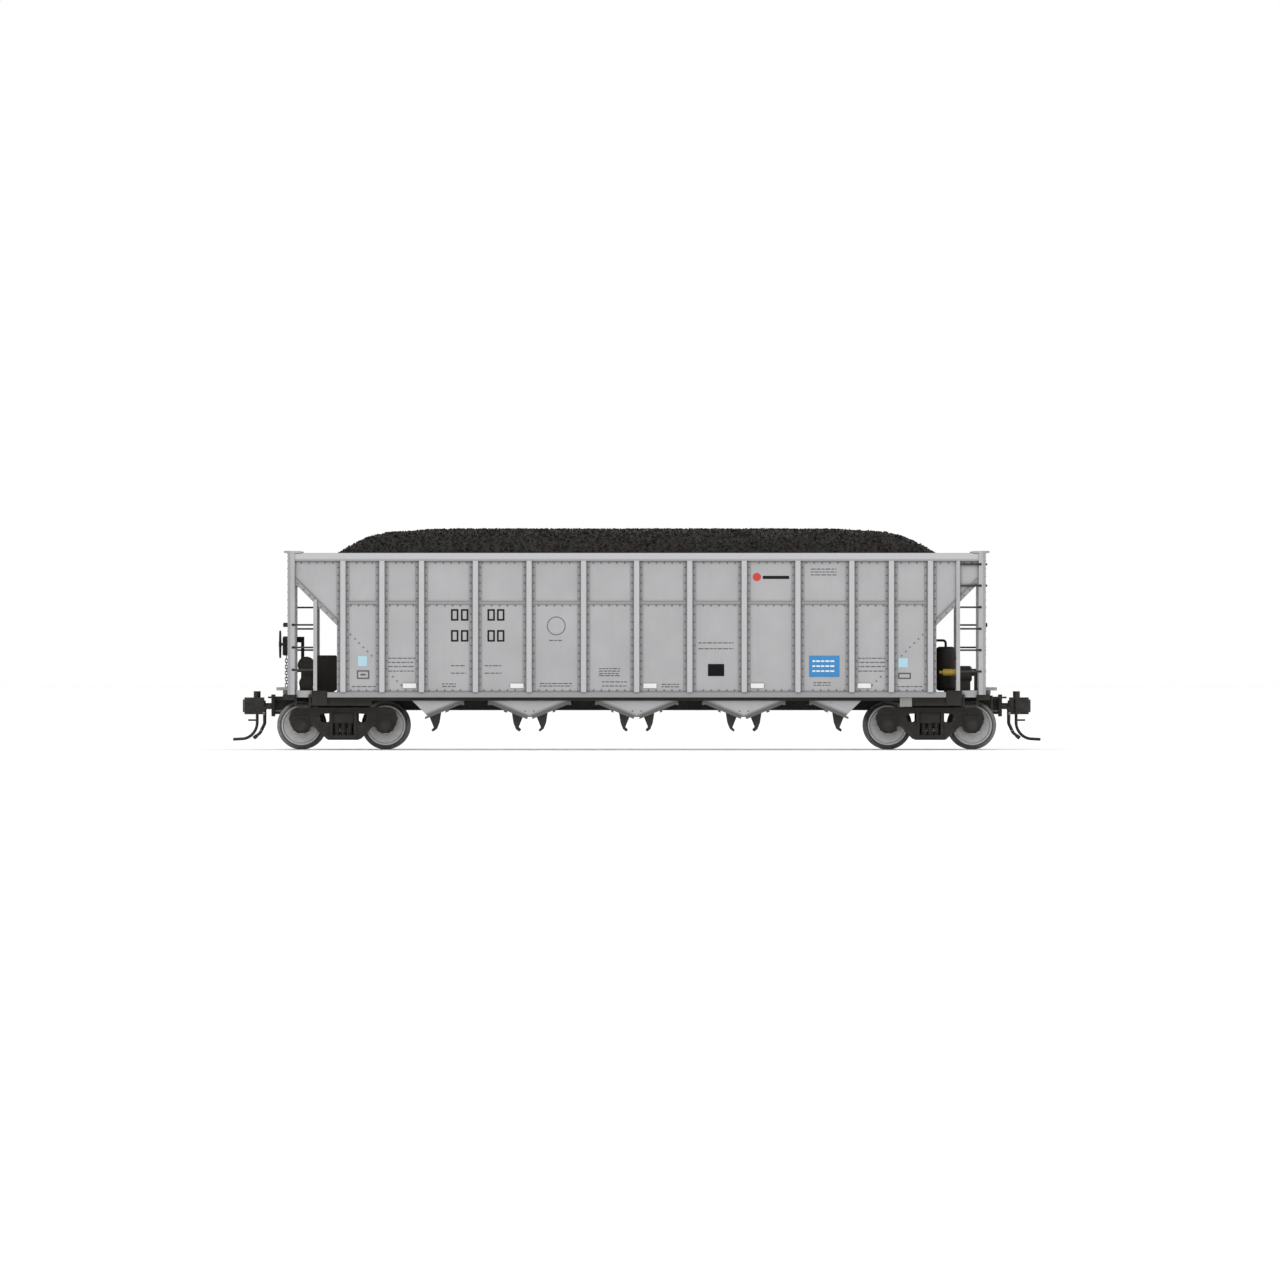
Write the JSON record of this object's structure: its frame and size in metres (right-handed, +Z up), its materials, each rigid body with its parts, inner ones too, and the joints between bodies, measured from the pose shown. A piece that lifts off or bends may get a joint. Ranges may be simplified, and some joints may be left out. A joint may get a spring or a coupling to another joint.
{
  "type": "model railway hopper car",
  "caption": "Scale model of a rapid-discharge coal hopper car with swivelling trucks, swinging couplers, hand brake and a lift-out coal load.",
  "frame": {"origin": "under the middle of the car, on the level of the lowest points of the wheel flanges", "axes": "+X along the car towards its A end, +Y to the left when facing the A end, +Z up"},
  "size_m": [0.1956, 0.0372, 0.0536],
  "materials": {
    "body_grey": "satin",
    "frame_black": "matte",
    "truck_black": "matte",
    "wheel_metal": "satin",
    "coupler_metal": "matte",
    "hose_rubber": "matte",
    "bare_steel": "satin",
    "sleeve_yellow": "satin",
    "coal": "matte",
    "plate_white": "satin",
    "plate_blue": "satin"
  },
  "bodies": {
    "car_body": {"side_panel_left": "body_grey", "side_panel_right": "body_grey", "end_frame_a": "body_grey", "end_frame_b": "body_grey", "floor_hoods": "body_grey", "bay_side_plates": "body_grey", "bay_doors_left": "body_grey", "bay_doors_right": "body_grey", "cross_ties": "body_grey", "end_decks": "body_grey", "ladders_a": "body_grey", "ladders_b": "body_grey", "crossover_platform_a": "body_grey", "crossover_platform_b": "body_grey", "slope_sheet_a": "body_grey", "slope_sheet_b": "body_grey", "underframe": "frame_black", "draft_box_lids": "frame_black", "stirrup_steps": "frame_black", "cut_lever_a": "frame_black", "cut_lever_b": "frame_black", "tag_plates": "frame_black", "brake_housing": "frame_black", "brake_chain": "frame_black", "brake_reservoir": "frame_black", "reservoir_bracket": "frame_black", "control_valve": "frame_black", "brake_cylinder": "frame_black", "door_reservoir": "frame_black", "air_hoses_a": "hose_rubber", "air_hoses_b": "hose_rubber", "lid_screws": "bare_steel", "kingpin_screws": "bare_steel", "slack_adjuster": "sleeve_yellow"},
    "load": {"coal_load": "coal"},
    "hand_wheel": {"brake_wheel": "frame_black"},
    "truck_a": {"truck_bolster_a": "truck_black", "sideframe_a_left": "truck_black", "sideframe_a_right": "truck_black", "brake_beams_a": "truck_black"},
    "truck_b": {"truck_bolster_b": "truck_black", "sideframe_b_left": "truck_black", "sideframe_b_right": "truck_black", "brake_beams_b": "truck_black"},
    "wheelset_a1": {"axle_a1": "wheel_metal", "wheels_a1": "wheel_metal"},
    "wheelset_a2": {"axle_a2": "wheel_metal", "wheels_a2": "wheel_metal"},
    "wheelset_b1": {"axle_b1": "wheel_metal", "wheels_b1": "wheel_metal"},
    "wheelset_b2": {"axle_b2": "wheel_metal", "wheels_b2": "wheel_metal"},
    "coupling_a": {"coupler_a": "coupler_metal", "centring_spring_a": "coupler_metal", "trip_pin_a": "coupler_metal"},
    "jaw_a": {"knuckle_a": "coupler_metal"},
    "coupling_b": {"coupler_b": "coupler_metal", "centring_spring_b": "coupler_metal", "trip_pin_b": "coupler_metal"},
    "jaw_b": {"knuckle_b": "coupler_metal"}
  },
  "joints": [
    {"name": "truck_a_swivel", "type": "hinge", "parent": "car_body", "child": "truck_a", "pos_m": [0.07086, 0, 0.00955], "axis": [0, 0, 1], "range_deg": [-10, 10]},
    {"name": "truck_b_swivel", "type": "hinge", "parent": "car_body", "child": "truck_b", "pos_m": [-0.07086, 0, 0.00955], "axis": [0, 0, 1], "range_deg": [-10, 10]},
    {"name": "wheelset_a1_spin", "type": "hinge", "parent": "truck_a", "child": "wheelset_a1", "pos_m": [0.08107, 0, 0.00588], "axis": [0, 1, 0], "continuous": true},
    {"name": "wheelset_a2_spin", "type": "hinge", "parent": "truck_a", "child": "wheelset_a2", "pos_m": [0.06066, 0, 0.00588], "axis": [0, 1, 0], "continuous": true},
    {"name": "wheelset_b1_spin", "type": "hinge", "parent": "truck_b", "child": "wheelset_b1", "pos_m": [-0.08107, 0, 0.00588], "axis": [0, 1, 0], "continuous": true},
    {"name": "wheelset_b2_spin", "type": "hinge", "parent": "truck_b", "child": "wheelset_b2", "pos_m": [-0.06066, 0, 0.00588], "axis": [0, 1, 0], "continuous": true},
    {"name": "coupler_a_swing", "type": "hinge", "parent": "car_body", "child": "coupling_a", "pos_m": [0.08, 0, 0.01056], "axis": [0, 0, 1], "range_deg": [-8, 8], "stiffness_Nm_per_rad": 0.0037},
    {"name": "knuckle_a_open", "type": "hinge", "parent": "coupling_a", "child": "jaw_a", "pos_m": [0.09195, -0.00115, 0.01056], "axis": [0, 0, -1], "range_deg": [0, 20], "stiffness_Nm_per_rad": 0.001},
    {"name": "coupler_b_swing", "type": "hinge", "parent": "car_body", "child": "coupling_b", "pos_m": [-0.08, 0, 0.01056], "axis": [0, 0, 1], "range_deg": [-8, 8], "stiffness_Nm_per_rad": 0.0037},
    {"name": "knuckle_b_open", "type": "hinge", "parent": "coupling_b", "child": "jaw_b", "pos_m": [-0.09195, 0.00115, 0.01056], "axis": [0, 0, -1], "range_deg": [0, 20], "stiffness_Nm_per_rad": 0.001},
    {"name": "load_lift", "type": "slide", "parent": "car_body", "child": "load", "axis": [0, 0, 1], "range_m": [0, 0.025]},
    {"name": "hand_wheel_spin", "type": "hinge", "parent": "car_body", "child": "hand_wheel", "pos_m": [-0.0862, 0.0051, 0.02545], "axis": [1, 0, 0], "continuous": true}
  ]
}
